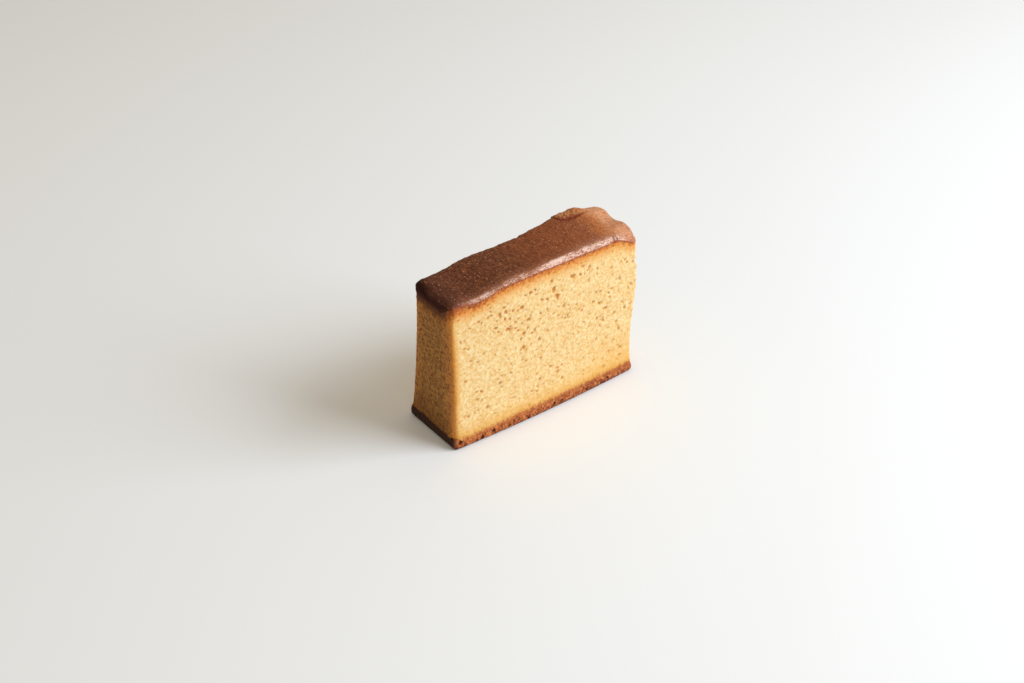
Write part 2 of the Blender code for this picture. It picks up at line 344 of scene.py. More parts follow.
def poreTree(name, settings):
    # geometry nodes: carves pores of several sizes into a surface and keeps how deep each point went
    s = settings
    tree = bpy.data.node_groups.new(name, "GeometryNodeTree")
    tree.interface.new_socket("Geometry", in_out="INPUT", socket_type="NodeSocketGeometry")
    tree.interface.new_socket("Geometry", in_out="OUTPUT", socket_type="NodeSocketGeometry")
    start = addNode(tree, "NodeGroupInput")
    place = addNode(tree, "GeometryNodeInputPosition")
    place = addNode(tree, "ShaderNodeVectorMath", {0: place, "Scale": 1 / mm}, operation="SCALE")
    shaken = unevenPlace(tree, place, s["wobble"])
    openness = addNode(tree, "GeometryNodeInputNamedAttribute", {"Name": "openness"}, data_type="FLOAT")
    depth = addNode(tree, "GeometryNodeInputNamedAttribute", {"Name": "hole"}, data_type="FLOAT")
    for spacing, smallest, largest, share in s["pores"]:
        cells = addNode(tree, "ShaderNodeTexVoronoi", {"Vector": shaken, "Scale": 1 / spacing})
        away = addNode(tree, "ShaderNodeMath", {0: cells, 1: spacing}, operation="MULTIPLY")
        draw = addNode(tree, "ShaderNodeSeparateXYZ", {0: cells.node.outputs["Color"]}).node
        radius = addNode(tree, "ShaderNodeMapRange",
                         {"Value": draw.outputs[0], "To Min": smallest, "To Max": largest})
        chance = addNode(tree, "ShaderNodeMath", {0: openness, 1: share}, operation="MULTIPLY")
        there = addNode(tree, "ShaderNodeMath", {0: draw.outputs[1], 1: chance}, operation="LESS_THAN")
        square = addNode(tree, "ShaderNodeMath", {0: radius, 1: radius}, operation="MULTIPLY")
        away = addNode(tree, "ShaderNodeMath", {0: away, 1: away}, operation="MULTIPLY")
        pit = addNode(tree, "ShaderNodeMath", {0: square, 1: away}, operation="SUBTRACT", use_clamp=True)
        pit = addNode(tree, "ShaderNodeMath", {0: pit}, operation="SQRT")
        pit = addNode(tree, "ShaderNodeMath", {0: pit, 1: there}, operation="MULTIPLY")
        depth = addNode(tree, "ShaderNodeMath", {0: depth, 1: pit}, operation="MAXIMUM")
    depth = addNode(tree, "ShaderNodeMath", {0: depth, 1: s["deepest"]}, operation="MINIMUM")
    lump = addNode(tree, "ShaderNodeTexNoise",
                   {"Vector": place, "Scale": 1 / s["roughGrain"], "Detail": 3.0, "Roughness": 0.65})
    lump = addNode(tree, "ShaderNodeMapRange", {"Value": lump, "From Min": 0.25, "From Max": 0.75,
                                                "To Min": -s["rough"], "To Max": s["rough"]})
    move = addNode(tree, "ShaderNodeMath", {0: lump, 1: depth}, operation="SUBTRACT")
    seen = addNode(tree, "GeometryNodeInputNamedAttribute", {"Name": "seen"}, data_type="FLOAT")
    move = addNode(tree, "ShaderNodeMath", {0: move, 1: seen}, operation="MULTIPLY")
    move = addNode(tree, "ShaderNodeMath", {0: move, 1: mm}, operation="MULTIPLY")
    normal = addNode(tree, "GeometryNodeInputNormal")
    offset = addNode(tree, "ShaderNodeVectorMath", {0: normal, "Scale": move}, operation="SCALE")
    kept = addNode(tree, "GeometryNodeStoreNamedAttribute",
                   {"Geometry": start, "Name": "pore", "Value": depth}, data_type="FLOAT", domain="POINT")
    moved = addNode(tree, "GeometryNodeSetPosition", {"Geometry": kept, "Offset": offset})
    addNode(tree, "NodeGroupOutput", {0: moved})
    return tree


def softenCorner(places, fromEnd, fromFront, radius):
    # draws the corner between the left end and the front in to a larger radius
    near = (fromEnd < radius) & (fromFront < radius)
    short = np.stack((radius - fromEnd, radius - fromFront), axis=1)
    length = np.hypot(short[:, 0], short[:, 1])
    pull = np.where(near, np.clip(1 - radius / np.maximum(length, radius), 0, None), 0)
    moved = places.copy()
    moved[:, :2] += short * pull[:, None] * mm
    return moved


def makeCrumb(material):
    c = crumb
    piece = sliceCopy("castellaCrumb", c["grid"])
    cutAt(piece, lipHeight, keepAbove=False, clean=True)
    closeRim(piece, ((0.5, 0.1), (1.0, 0.2)))
    cutAt(piece, lambda place: baseHeight(place) - 0.3, keepAbove=True, clean=False)
    closeRim(piece, ((0.3, -0.4), (1.0, -0.8)))
    places = readPlaces(piece.data.vertices)
    x, y = plan(places)[:2]
    z = places[:, 2] / mm
    belowSkin = lipHeight(places) - z
    aboveBase = z - baseHeight(places)
    fromEnd = x + block["halfLength"]
    deeper, centre, halfWidth = c["deeper"]
    keepValue(piece, "belowSkin", belowSkin + c["skinFade"] * x - deeper * bell(x, centre, halfWidth))
    keepValue(piece, "aboveBase", aboveBase)
    fromSides = np.clip(block["halfWidth"] - np.abs(y), 0, None)
    pastCorner = np.clip(fromEnd, 0, None) - fromSides
    pastCorner += c["cornerShift"] * (1 - bell(z, c["cornerZ"], c["cornerHeight"]))
    pastCorner -= c["backCorner"] * ease(2.0, 0.0, fromEnd) * ease(0.0, 6.0, y)
    keepValue(piece, "pastCorner", pastCorner)
    keepValue(piece, "seen", ease(-0.2, 0.8, belowSkin) * ease(-0.4, 0.6, aboveBase))
    opening = bell(x, c["openX"], c["openWidth"]) * bell(z, c["openZ"], c["openHeight"])
    opening = c["closed"] + (1 - c["closed"]) * opening
    keepValue(piece, "openness", opening * ease(0.5, 3.0, fromEnd))
    onFront = y < 2 - block["halfWidth"]
    uneven = c["holeUneven"] * noiseAt(places, c["holeGrain"])
    keepValue(piece, "hole", pitsAt(x, z, c["holes"], c["holeFlat"], uneven) * onFront)
    boxMap(piece)
    places = softenCorner(places, fromEnd, y + block["halfWidth"], c["softCorner"])
    torn = ease(c["tornReach"], 0.5, block["halfLength"] - x) * bell(z, c["tornZ"], c["tornHeight"])
    normals = readPlaces(piece.data.vertex_normals, "vector")
    broken = np.array([noise.fractal(Vector(p) / (c["tornGrain"] * mm), 0.6, 2.2, 4) for p in places])
    places += normals * (torn * c["tornSize"] * broken)[:, None] * mm
    writePlaces(piece.data, places)
    applyModifier(piece, "NODES", node_group=poreTree("CrumbPores", c))
    finishPiece(piece, material)


# Relief of the top skin.

skin = dict(
    grid=0.25 * mm, roll=0.12, rollHeight=1.6,      # how far the lip is pushed out, and how high up
    wrinkle=0.18, wrinkleLength=4.5, pucker=0.09, puckerLengths=(0.8, 3.0),      # fine, across the slice
    lipWrinkle=0.26, lipLengths=(3.2, 0.7),         # wrinkles that run along the lip: length and height
    foldX=(19.2, 20.2, 33.0, 37.5), foldY=4.8, foldMiddle=27.0, foldBow=0.033, foldCurl=1.1, curlX=22.1,
    foldWidth=(1.5, 0.5), foldDeep=0.5, foldRise=0.3, foldLump=0.35,
    bubble=(33.0, -13.4, 66.7), bubbleRadius=1.1, bubbleRing=0.42, bubbleRim=0.12, bubbleDeep=0.15,
    nicks=((2.5, 10.5, 1.1, 0.55), (30.5, 14.5, 1.0, 0.45)),      # dents at the back: x, y, size, depth
    blisters=((-42.6, 5.9, 0.45, 0.2), (-22.0, 9.5, 0.35, 0.12), (-9.0, 8.0, 0.35, 0.12),
              (-30.5, 8.0, 0.3, 0.15)),             # x, y, size, height
    # painted sheen along the lip, a painted highlight: x, half width and strength, how far up it reaches on
    # the left and the right, and how it thins out over the shoulder
    sheen=((-36.5, 4.0, 0.8), (-28.0, 4.5, 1.0), (-20.0, 4.0, 0.8), (-12.0, 5.0, 0.9), (-3.0, 5.0, 0.9),
           (5.0, 5.0, 1.0), (13.0, 5.0, 1.0), (20.0, 4.0, 1.0), (27.0, 5.0, 1.0), (36.0, 6.0, 1.0)),
    sheenDepth=(2.4, 4.4), sheenWidens=(-12.0, 6.0), sheenUneven=1.0, sheenSoft=1.9,
    sheenTail=(0.3, 0.75), tailEnd=10.0, tailWidens=(8.0, 20.0),
    # its painted glints, the brightest places: x and half width, way up and half width, strength
    glints=((18.4, 1.2, 2.6, 0.9, 0.8), (-30.5, 3.5, 2.4, 1.0, 0.8), (-14.0, 3.5, 2.8, 1.0, 0.5),
            (4.5, 4.5, 2.8, 1.2, 0.75), (28.0, 4.0, 2.6, 1.1, 0.3)),
    endDark=(0.62, 0.36), endDarkHeight=4.5,        # end darker, scorched and painted shade: all over, more near the line
)


def between(value, points):
    # 0 outside four points, 1 between the middle two
    return ease(points[0], points[1], value) * (1 - ease(points[2], points[3], value))


def paintedLipSheen(places, x, y, alongLip):
    # painted highlight on the lip: a full band near its line, a thin tail over its shoulder, and the glints
    s = skin
    paintedShine = sum(strength * bell(x, centre, halfWidth) for centre, halfWidth, strength in s["sheen"])
    onLeft, onRight = s["sheenDepth"]
    reach = onLeft + (onRight - onLeft) * ease(*s["sheenWidens"], x)
    reach += s["sheenUneven"] * noiseAt(places, 3.5)
    core = ease(0.1, 0.5, alongLip) * ease(reach + s["sheenSoft"], reach - s["sheenSoft"], alongLip)
    onLeft, onRight = s["sheenTail"]
    tail = onLeft + (onRight - onLeft) * ease(*s["tailWidens"], x)
    tail = tail * ease(s["tailEnd"], 2.0, alongLip) * ease(0.3, 0.8, alongLip)
    paintedShine = np.clip(paintedShine, 0, 1) * np.maximum(core, tail) * (y < 4)
    for glintX, glintWide, glintUp, glintHigh, strength in s["glints"]:
        paintedShine += strength * bell(x, glintX, glintWide) * bell(alongLip, glintUp, glintHigh) * (y < 0)
    return paintedShine


def makeSkin(material):
    s = skin
    half, wide = block["halfLength"], block["halfWidth"]
    piece = sliceCopy("castellaTopSkin", s["grid"])
    cutAt(piece, lipHeight, keepAbove=True, clean=True)
    mesh = piece.data
    places = readPlaces(mesh.vertices)
    normals = readPlaces(mesh.vertex_normals, "vector")
    aboveLine = places[:, 2] / mm - lipHeight(places)
    roll = s["roll"] * ease(0.0, 0.35, aboveLine) * (1 - ease(0.5, s["rollHeight"], aboveLine))
    places += normals * (0.3, 1, 0) * roll[:, None] * mm
    writePlaces(mesh, places)
    closeRim(piece, ((0.25, -0.05), (0.5, 0.1), (1.0, 0.25)))
    places = readPlaces(mesh.vertices)
    normals = readPlaces(mesh.vertex_normals, "vector")
    x, y = plan(places)[:2]
    z = places[:, 2] / mm
    ownX = places[:, 0] / mm + block["middle"][0]
    ownY = places[:, 1] / mm + block["middle"][1]
    aboveLine = z - lipHeight(places)
    fromSides = np.clip(wide - np.abs(y), 0, None)
    inwards = np.clip(np.minimum(fromSides, half - x), 0, None)
    alongLip = aboveLine + inwards             # way up the lip and over its shoulder, in mm
    lip = ease(0.2, 1.0, alongLip) * (1 - ease(3.4, 5.4, alongLip))
    stretched = np.stack(((x + y) / s["lipLengths"][0], alongLip / s["lipLengths"][1], 0 * x), axis=1) * mm
    rise = s["lipWrinkle"] * lip * noiseAt(stretched, 1.0)
    waves = np.array([noise.fractal(Vector(p) / (s["wrinkleLength"] * mm), 1.0, 2.0, 4) for p in places])
    rise += s["wrinkle"] * waves * ease(0, 1, aboveLine)
    acrossSlice = places / (s["puckerLengths"][0], s["puckerLengths"][1], s["puckerLengths"][1])
    rise += s["pucker"] * noiseAt(acrossSlice, 1.0) * ease(0, 1, aboveLine)
    # a fold in the skin near the back edge: a crease in front of a raised, paler flap
    onTop = ease(0.2, 0.6, normals[:, 2])
    bow = s["foldY"] + s["foldBow"] * (ownX - s["foldMiddle"]) ** 2
    bow += s["foldCurl"] * np.clip(s["curlX"] - ownX, 0, None) ** 2
    past = ownY - bow + 0.6 * noiseAt(places, 1.4)
    folded = between(ownX, s["foldX"]) * onTop
    broad, narrow = s["foldWidth"]
    crease = folded * bell(past, 0, broad - (broad - narrow) * ease(23.0, 33.0, ownX))
    flap = folded * ease(0.2, 1.2, past)
    rise += flap * (s["foldRise"] + s["foldLump"] * noiseAt(places, 0.9)) - s["foldDeep"] * crease
    # a burst bubble: a raised ring round a pit
    away = np.linalg.norm(np.stack((ownX, ownY, z), axis=1) - s["bubble"], axis=1)
    away *= 1 + 0.3 * noiseAt(places, 1.2)
    ring = bell(away, s["bubbleRadius"], s["bubbleRing"])
    rise += s["bubbleRim"] * ring - s["bubbleDeep"] * bell(away, 0, 0.6 * s["bubbleRadius"])
    for dentX, dentY, size, depth in s["nicks"]:
        rise -= depth * bell(np.hypot(ownX - dentX, ownY - dentY), 0, size)
    pale = flap * ease(-0.35, 0.25, noiseAt(places, 0.8))
    for centreX, centreY, size, height in s["blisters"]:
        bump = bell(np.hypot(ownX - centreX, ownY - centreY), 0, size) * onTop
        rise += height * bump
        pale = np.maximum(pale, 0.8 * bump)
    onEnd = ease(3.0, -2.0, np.clip(x + half, 0, None) - fromSides) * (1 - onTop)
    allOver, nearLine = s["endDark"]
    onEnd *= allOver + nearLine * ease(s["endDarkHeight"], 2.0, aboveLine)
    knob = ease(-41.0, -44.5, ownX) * ease(1.0, 7.0, ownY)
    keepValue(piece, "aboveLine", aboveLine)
    keepValue(piece, "alongLip", alongLip)
    keepValue(piece, "paintedShine", paintedLipSheen(places, x, y, alongLip))
    # the crease value darkens the fold's crease, as painted shade, and the bubble's ring
    keepValue(piece, "crease", np.clip(crease + 0.85 * ring, 0, 1))
    keepValue(piece, "pale", pale)
    # the scorched knob, and the end of the skin, darkened partly by painted shade as it faces away from the
    # light
    keepValue(piece, "scorchAndEndShade", np.clip(0.9 * knob + onEnd, 0, 1))
    boxMap(piece)
    places += normals * rise[:, None] * mm
    writePlaces(mesh, places)
    finishPiece(piece, material)


# Relief of the base crust.

base = dict(
    grid=0.25 * mm, pores=((1.5, 0.2, 0.5, 0.5), (4.0, 0.35, 0.7, 0.3)), wobble=((0.9, 0.9), (2.2, 0.4)),
    rough=0.12, roughGrain=1.1, deepest=0.6, pitUneven=0.35, pitGrain=0.8,
    # pits on the front: x, z, radius
    pits=((-42.9, 3.3, 1.0), (-32.8, 1.5, 0.85), (-27.4, 2.4, 0.9), (-20.1, 1.4, 0.6), (-10.5, 1.1, 0.7),
          (2.7, 2.2, 0.8), (6.3, 2.4, 0.6), (19.5, 2.0, 0.6), (27.6, 1.2, 0.7), (31.3, 2.4, 0.6)),
)


def makeBase(material):
    b = base
    piece = sliceCopy("castellaBaseCrust", b["grid"])
    cutAt(piece, baseHeight, keepAbove=False, clean=False)
    closeRim(piece, ((0.3, 0.0), (1.0, -0.3)))
    places = readPlaces(piece.data.vertices)
    x, y = plan(places)[:2]
    z = places[:, 2] / mm
    belowCrumb = baseHeight(places) - z
    keepValue(piece, "belowCrumb", belowCrumb)
    fromSides = np.clip(block["halfWidth"] - np.abs(y), 0, None)
    keepValue(piece, "pastCorner", np.clip(x + block["halfLength"], 0, None) - fromSides)
    keepValue(piece, "seen", ease(0.1, 0.6, z) * ease(-0.1, 0.3, belowCrumb))
    keepValue(piece, "openness", np.ones(len(places)))
    onFront = y < 3 - block["halfWidth"]
    uneven = b["pitUneven"] * noiseAt(places, b["pitGrain"])
    keepValue(piece, "hole", pitsAt(x, z, b["pits"], 1.0, uneven) * onFront)
    boxMap(piece)
    applyModifier(piece, "NODES", node_group=poreTree("BasePores", b))
    finishPiece(piece, material)


# Finishes.

def newMaterial(name):
    material = bpy.data.materials.new(name)
    material.use_nodes = True
    tree = material.node_tree
    tree.nodes.clear()
    shader = addNode(tree, "ShaderNodeBsdfPrincipled").node
    addNode(tree, "ShaderNodeOutputMaterial", {"Surface": shader.outputs[0]})
    place = addNode(tree, "ShaderNodeTexCoord", out="Object")
    inMm = addNode(tree, "ShaderNodeVectorMath", {0: place, "Scale": 1 / mm}, operation="SCALE")
    return material, tree, shader, inMm


def tint(tree, tone, share, most, hexText):
    # lays one colour over the tone where the share says
    share = addNode(tree, "ShaderNodeMath", {0: share, 1: most}, operation="MULTIPLY", use_clamp=True)
    return addNode(tree, "ShaderNodeMix", {0: share, 6: tone, 7: colour(hexText)}, out=2, data_type="RGBA")


def tintBetween(tree, tone, source, start, full, most, hexText, where=None):
    # lays one colour over the tone as the source goes from start to full, only where the last share says
    share = addNode(tree, "ShaderNodeMapRange", {"Value": source, "From Min": start, "From Max": full})
    if where is not None:
        share = addNode(tree, "ShaderNodeMath", {0: share, 1: where}, operation="MULTIPLY", use_clamp=True)
    return tint(tree, tone, share, most, hexText)


def mottled(tree, place, length, roughness, start, full, first, second):
    # a first tone that wanders between two colours, in patches of this length in mm
    patch = addNode(tree, "ShaderNodeTexNoise",
                    {"Vector": place, "Scale": 1 / length, "Detail": 5.0, "Roughness": roughness})
    patch = addNode(tree, "ShaderNodeMapRange", {"Value": patch, "From Min": start, "From Max": full})
    return addNode(tree, "ShaderNodeMix", {0: patch, 6: colour(first), 7: colour(second)}, out=2,
                   data_type="RGBA")


def joinSurface(tree, shader, tone, height):
    # the colour, and the relief finer than the mesh, whose height is in mm
    tree.links.new(tone, shader.inputs["Base Color"])
    relief = addNode(tree, "ShaderNodeBump", {"Height": height, "Distance": mm, "Strength": 0.8})
    tree.links.new(relief, shader.inputs["Normal"])


# Browning that fades into the crumb: attribute, its unevenness, where it starts and its reach in mm,
# how far along it is whole, and its colours going inwards.
browning = (
    ("aboveBase", 1.0, 0.0, 8.0, 0.0,
     ((0.0, "a85a2e"), (0.05, "c07a38"), (0.12, "d4963f"), (0.28, "dfaa56"), (1.0, "e6b96c"))),
    ("belowSkin", 1.7, 0.0, 7.5, 0.22,
     ((0.0, "8e3812"), (0.06, "b8571a"), (0.17, "c86e25"), (0.32, "d88a38"), (0.6, "e0a252"),
      (1.0, "e6b76e"))),
    ("pastCorner", 0.8, -8.0, 12.5, 0.74,
     ((0.0, "925e28"), (0.2, "a2682e"), (0.45, "b87032"), (0.6, "c87c2e"), (0.72, "d08a36"),
      (0.82, "dc9f48"), (1.0, "e6b76e"))),
)


def brownEdges(tree, tone, streak):
    # browning that creeps in from the base, the skin and the left corner, uneven and crumbly
    for name, uneven, start, reach, whole, stops in browning:
        gap = addNode(tree, "ShaderNodeAttribute", attribute_name=name, out="Fac")
        gap = addNode(tree, "ShaderNodeMath", {0: streak, 1: uneven, 2: gap}, operation="MULTIPLY_ADD")
        along = addNode(tree, "ShaderNodeMapRange",
                        {"Value": gap, "From Min": start, "From Max": start + reach})
        brown = addNode(tree, "ShaderNodeValToRGB", {0: along}, stops=stops)
        share = addNode(tree, "ShaderNodeMapRange", {"Value": along, "From Min": 1.0, "From Max": whole})
        share = addNode(tree, "ShaderNodeMath", {0: share, 1: 0.92}, operation="MULTIPLY")
        tone = addNode(tree, "ShaderNodeMix", {0: share, 6: tone, 7: brown}, out=2, data_type="RGBA")
    return tone


def brownEnd(tree, tone, shaken, streak, below, pastCorner):
    # the browned side of the loaf: finely mottled, and darker towards the skin and the base
    end = addNode(tree, "ShaderNodeMapRange", {"Value": pastCorner, "From Min": 1.8, "From Max": -2.5})
    speckle = addNode(tree, "ShaderNodeTexNoise",
                      {"Vector": shaken, "Scale": 1 / 1.2, "Detail": 4.0, "Roughness": 0.75})
    tone = tintBetween(tree, tone, speckle, 0.49, 0.61, 0.85, "5e3812", where=end)
    tone = tintBetween(tree, tone, speckle, 0.47, 0.36, 0.75, "c48c34", where=end)
    below = addNode(tree, "ShaderNodeMath", {0: streak, 1: 0.8, 2: below}, operation="MULTIPLY_ADD")
    above = addNode(tree, "ShaderNodeAttribute", attribute_name="aboveBase", out="Fac")
    onEnd = addNode(tree, "ShaderNodeMapRange", {"Value": end, "From Min": 0.5, "From Max": 1.0})
    for gap, reach, most, hexText in ((above, 16.0, 0.45, "46290f"), (below, 5.2, 0.7, "5e3014"),
                                      (below, 2.4, 0.55, "3c170e")):
        tone = tintBetween(tree, tone, gap, reach, 0.0, most, hexText, where=onEnd)
    return tone


def spongeCrumb():
    # castella sponge, cut with a knife: matt, cream walls round fine pores that are golden brown inside;
    # that golden brown is partly painted shade and bounced light
    material, tree, shader, place = newMaterial("spongeCrumbCut")
    shaken = unevenPlace(tree, place, ((1.1, 1.5),))
    tone = mottled(tree, place, 4.5, 0.7, 0.38, 0.62, "ebcd94", "e2ba7a")
    # grain of the cell walls, cream where they catch the knife and golden between
    grain = addNode(tree, "ShaderNodeTexNoise",
                    {"Vector": shaken, "Scale": 1 / 1.3, "Detail": 4.0, "Roughness": 0.7})
    cream = addNode(tree, "ShaderNodeMapRange", {"Value": grain, "From Min": 0.52, "From Max": 0.36})
    tone = tint(tree, tone, cream, 0.75, "f4deae")
    tone = tintBetween(tree, tone, grain, 0.52, 0.64, 0.75, "dba655")
    # flecks: the mouths of pores too fine for the mesh, in two sizes, tinted with painted shade
    flat = addNode(tree, "ShaderNodeVectorMath", {0: shaken, 1: (0.8, 0.8, 1.25)}, operation="MULTIPLY")
    flecks = []
    for spacing, share, radius, soft, hexText in ((1.15, 0.55, 0.27, 0.08, "c99a44"),
                                                  (2.1, 0.4, 0.42, 0.14, "c88a38")):
        cells = addNode(tree, "ShaderNodeTexVoronoi", {"Vector": flat, "Scale": 1 / spacing})
        draw = addNode(tree, "ShaderNodeSeparateColor", {0: cells.node.outputs["Color"]})
        edge = addNode(tree, "ShaderNodeMapRange",
                       {"Value": draw, "From Min": 1 - share, "To Min": -0.1, "To Max": radius})
        fleck = addNode(tree, "ShaderNodeMath", {0: edge, 1: cells}, operation="SUBTRACT")
        fleck = addNode(tree, "ShaderNodeMapRange", {"Value": fleck, "From Max": soft})
        tone = tint(tree, tone, fleck, 0.85, hexText)
        flecks.append(fleck)
    # the carved pores turn orange brown the deeper they go: painted shade and bounced light inside them
    pore = addNode(tree, "ShaderNodeAttribute", attribute_name="pore", out="Fac")
    tone = tintBetween(tree, tone, pore, 0.03, 0.5, 0.9, "c67a32")
    # the lower right is more golden
    spot = addNode(tree, "ShaderNodeSeparateXYZ", {0: place}).node
    right = addNode(tree, "ShaderNodeMapRange", {"Value": spot.outputs[0], "From Min": 8.0, "From Max": 34.0})
    right = addNode(tree, "ShaderNodeMath", {0: right, 1: grain}, operation="MULTIPLY")
    tone = tintBetween(tree, tone, spot.outputs[2], 26.0, 10.0, 1.1, "e6b260", where=right)
    streak = addNode(tree, "ShaderNodeVectorMath", {0: place, 1: (1.0, 1.0, 0.8)}, operation="MULTIPLY")
    streak = addNode(tree, "ShaderNodeTexNoise",
                     {"Vector": streak, "Scale": 1 / 1.1, "Detail": 5.0, "Roughness": 0.75})
    streak = addNode(tree, "ShaderNodeMapRange",
                     {"Value": streak, "From Min": 0.3, "From Max": 0.7, "To Min": -1.0}, clamp=False)
    tone = brownEdges(tree, tone, streak)
    # under the skin the pores are browner and the walls brighter, and the corner there is scorched
    below = addNode(tree, "ShaderNodeAttribute", attribute_name="belowSkin", out="Fac")
    for marks, most, hexText in ((flecks[0], 0.55, "b45814"), (flecks[1], 0.55, "ac5014"),
                                 (cream, 0.45, "eca850")):
        tone = tintBetween(tree, tone, below, 6.5, 2.5, most, hexText, where=marks)
    pastCorner = addNode(tree, "ShaderNodeAttribute", attribute_name="pastCorner", out="Fac")
    corner = addNode(tree, "ShaderNodeMath", {0: pastCorner, 1: 1.2}, operation="SUBTRACT")
    corner = addNode(tree, "ShaderNodeMath", {0: corner}, operation="ABSOLUTE")
    corner = addNode(tree, "ShaderNodeMapRange", {"Value": corner, "From Min": 3.4, "From Max": 0.8})
    ragged = addNode(tree, "ShaderNodeMath", {0: streak, 1: 1.4, 2: below}, operation="MULTIPLY_ADD")
    for reach, whole, most, hexText in ((4.8, 1.6, 0.75, "a8501c"), (2.4, 0.4, 0.7, "6e2612")):
        tone = tintBetween(tree, tone, ragged, reach, whole, most, hexText, where=corner)
    tone = brownEnd(tree, tone, shaken, streak, below, pastCorner)
    low = addNode(tree, "ShaderNodeMath", {0: flecks[0], 1: -0.03}, operation="MULTIPLY")
    for source, size in ((flecks[1], -0.05), (grain, -0.3)):
        low = addNode(tree, "ShaderNodeMath", {0: source, 1: size, 2: low}, operation="MULTIPLY_ADD")
    joinSurface(tree, shader, tone, low)
    shader.inputs["Roughness"].default_value = 0.85
    shader.inputs["Specular IOR Level"].default_value = 0.2
    shader.inputs["Subsurface Weight"].default_value = 0.15
    shader.inputs["Subsurface Radius"].default_value = (1.0, 0.5, 0.22)
    shader.inputs["Subsurface Scale"].default_value = 1.2 * mm
    return material


# The skin's colours from its darker left end to its paler right end: partly its own browning and partly
# painted light, lighter where the top faces the window at the right and darker where it faces away at the
# left.
skinTonesAndLight = ((0.0, "482519"), (0.07, "593021"), (0.2, "5f3520"), (0.35, "61351d"), (0.46, "763e20"),
             (0.6, "874928"), (0.78, "8e5030"), (0.85, "b66c3a"), (0.92, "d29062"), (1.0, "dd9e74"))


